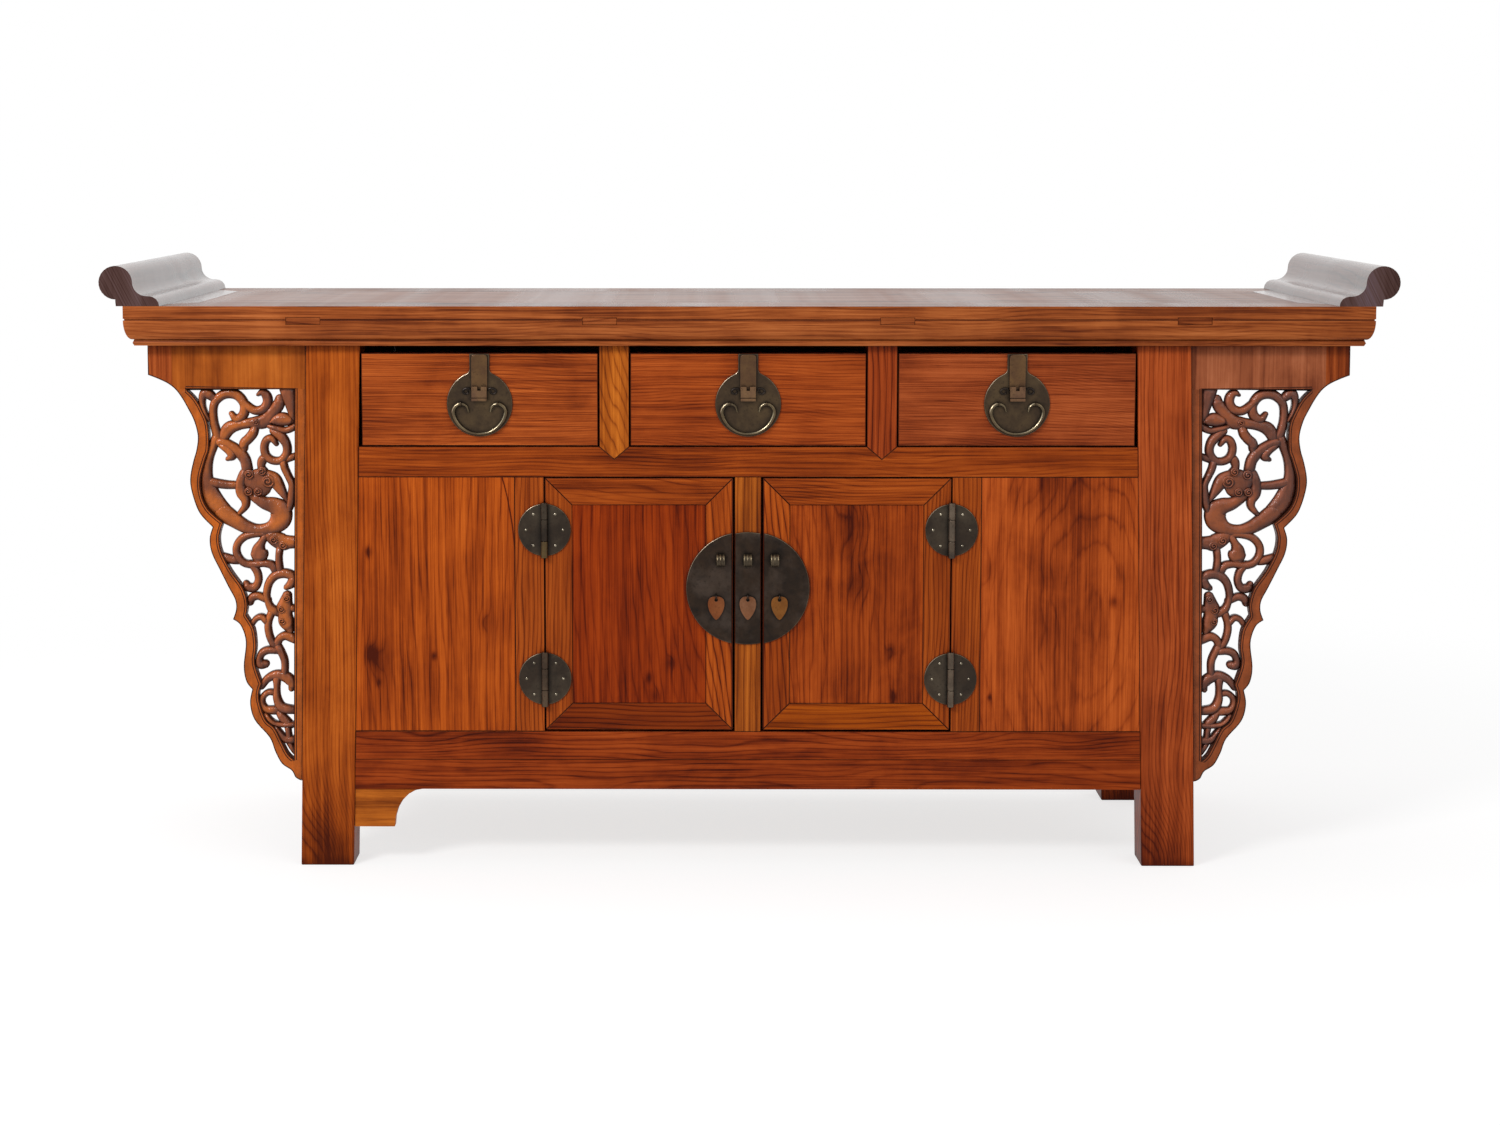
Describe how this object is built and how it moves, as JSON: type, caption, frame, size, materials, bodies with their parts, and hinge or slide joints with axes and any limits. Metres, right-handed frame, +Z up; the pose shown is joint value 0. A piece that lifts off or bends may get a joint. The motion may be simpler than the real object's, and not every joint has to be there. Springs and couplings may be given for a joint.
{
  "type": "altar coffer",
  "caption": "Long altar table with everted flanges, drawers over a cupboard with doors, splayed legs, pierced carved spandrels and round metal fittings.",
  "frame": {"origin": "on the floor, under the middle of the coffer's bounding box", "axes": "+X to the coffer's right as seen from its front, +Y to its back, +Z up; the drawers and doors face -Y"},
  "size_m": [1.9392, 0.5, 0.9202],
  "materials": {
    "orange_elm": "waxed elm with brown grain",
    "red_elm": "waxed elm, redder",
    "carved_elm": "waxed carved elm",
    "lacquered_elm": "glossy dark lacquer over elm",
    "inner_wood": "bare softwood",
    "dark_brass": "darkened, worn edges",
    "copper_brass": "worn, coppery"
  },
  "bodies": {
    "carcass": {"top_front_rail": "orange_elm", "top_rear_rail": "orange_elm", "top_panel": "lacquered_elm", "everted_flange_left": "lacquered_elm", "everted_flange_right": "lacquered_elm", "leg_front_left": "orange_elm", "leg_front_right": "orange_elm", "leg_rear_left": "orange_elm", "leg_rear_right": "orange_elm", "front_mid_rail": "orange_elm", "front_bottom_rail": "red_elm", "front_apron": "orange_elm", "corner_bracket_left": "orange_elm", "divider_left": "orange_elm", "divider_right": "orange_elm", "door_stile_left": "orange_elm", "door_stile_right": "orange_elm", "front_panel_left": "orange_elm", "front_panel_right": "orange_elm", "side_panel_left": "orange_elm", "side_panel_right": "orange_elm", "back_panel": "orange_elm", "drawer_deck": "inner_wood", "cabinet_floor": "inner_wood", "spandrel_left": "carved_elm", "spandrel_right": "carved_elm", "hinge_upper_left_stile_leaf": "dark_brass", "hinge_lower_left_stile_leaf": "dark_brass", "hinge_upper_right_stile_leaf": "dark_brass", "hinge_lower_right_stile_leaf": "dark_brass"},
    "door_left": {"door_frame_left": "orange_elm", "door_panel_left": "red_elm", "hinge_upper_left_door_leaf": "dark_brass", "hinge_lower_left_door_leaf": "dark_brass", "lock_plate_left": "dark_brass"},
    "door_right": {"door_frame_right": "orange_elm", "door_panel_right": "red_elm", "hinge_upper_right_door_leaf": "dark_brass", "hinge_lower_right_door_leaf": "dark_brass", "lock_plate_right": "dark_brass"},
    "post": {"centre_post": "orange_elm", "lock_plate_centre": "dark_brass"},
    "pendant_left": {"pendant_left": "copper_brass"},
    "drawer_left": {"drawer_front_left": "red_elm", "drawer_box_left": "inner_wood", "drawer_plate_left": "dark_brass"},
    "bolt_left": {"drawer_bolt_left": "dark_brass"},
    "bail_left": {"drawer_bail_left": "dark_brass"},
    "pendant_centre": {"pendant_centre": "copper_brass"},
    "drawer_centre": {"drawer_front_centre": "red_elm", "drawer_box_centre": "inner_wood", "drawer_plate_centre": "dark_brass"},
    "bolt_centre": {"drawer_bolt_centre": "dark_brass"},
    "bail_centre": {"drawer_bail_centre": "dark_brass"},
    "pendant_right": {"pendant_right": "copper_brass"},
    "drawer_right": {"drawer_front_right": "red_elm", "drawer_box_right": "inner_wood", "drawer_plate_right": "dark_brass"},
    "bolt_right": {"drawer_bolt_right": "dark_brass"},
    "bail_right": {"drawer_bail_right": "dark_brass"}
  },
  "joints": [
    {"name": "door_left_hinge", "type": "hinge", "parent": "carcass", "child": "door_left", "pos_m": [-0.3081, -0.228, 0.4051], "axis": [0, 0, -1], "range_deg": [0, 170]},
    {"name": "door_right_hinge", "type": "hinge", "parent": "carcass", "child": "door_right", "pos_m": [0.3081, -0.228, 0.4051], "axis": [0, 0, 1], "range_deg": [0, 170]},
    {"name": "post_slide", "type": "slide", "parent": "carcass", "child": "post", "axis": [0, -1, 0], "range_m": [0, 0.1]},
    {"name": "drawer_left_slide", "type": "slide", "parent": "carcass", "child": "drawer_left", "axis": [0, -1, 0], "range_m": [0, 0.3]},
    {"name": "drawer_centre_slide", "type": "slide", "parent": "carcass", "child": "drawer_centre", "axis": [0, -1, 0], "range_m": [0, 0.3]},
    {"name": "drawer_right_slide", "type": "slide", "parent": "carcass", "child": "drawer_right", "axis": [0, -1, 0], "range_m": [0, 0.3]},
    {"name": "bolt_left_slide", "type": "slide", "parent": "drawer_left", "child": "bolt_left", "axis": [0, 0, 1], "range_m": [0, 0.018]},
    {"name": "bolt_centre_slide", "type": "slide", "parent": "drawer_centre", "child": "bolt_centre", "axis": [0, 0, 1], "range_m": [0, 0.018]},
    {"name": "bolt_right_slide", "type": "slide", "parent": "drawer_right", "child": "bolt_right", "axis": [0, 0, 1], "range_m": [0, 0.018]},
    {"name": "bail_left_pivot", "type": "hinge", "parent": "drawer_left", "child": "bail_left", "pos_m": [-0.40475, -0.2272, 0.7112], "axis": [-1, 0, 0], "range_deg": [0, 90]},
    {"name": "bail_centre_pivot", "type": "hinge", "parent": "drawer_centre", "child": "bail_centre", "pos_m": [0, -0.2272, 0.7112], "axis": [-1, 0, 0], "range_deg": [0, 90]},
    {"name": "bail_right_pivot", "type": "hinge", "parent": "drawer_right", "child": "bail_right", "pos_m": [0.40475, -0.2272, 0.7112], "axis": [-1, 0, 0], "range_deg": [0, 90]},
    {"name": "pendant_left_pivot", "type": "hinge", "parent": "door_left", "child": "pendant_left", "pos_m": [-0.048, -0.2263, 0.4171], "axis": [-1, 0, 0], "range_deg": [0, 80]},
    {"name": "pendant_centre_pivot", "type": "hinge", "parent": "post", "child": "pendant_centre", "pos_m": [0, -0.2263, 0.4171], "axis": [-1, 0, 0], "range_deg": [0, 80]},
    {"name": "pendant_right_pivot", "type": "hinge", "parent": "door_right", "child": "pendant_right", "pos_m": [0.048, -0.2263, 0.4171], "axis": [-1, 0, 0], "range_deg": [0, 80]}
  ]
}
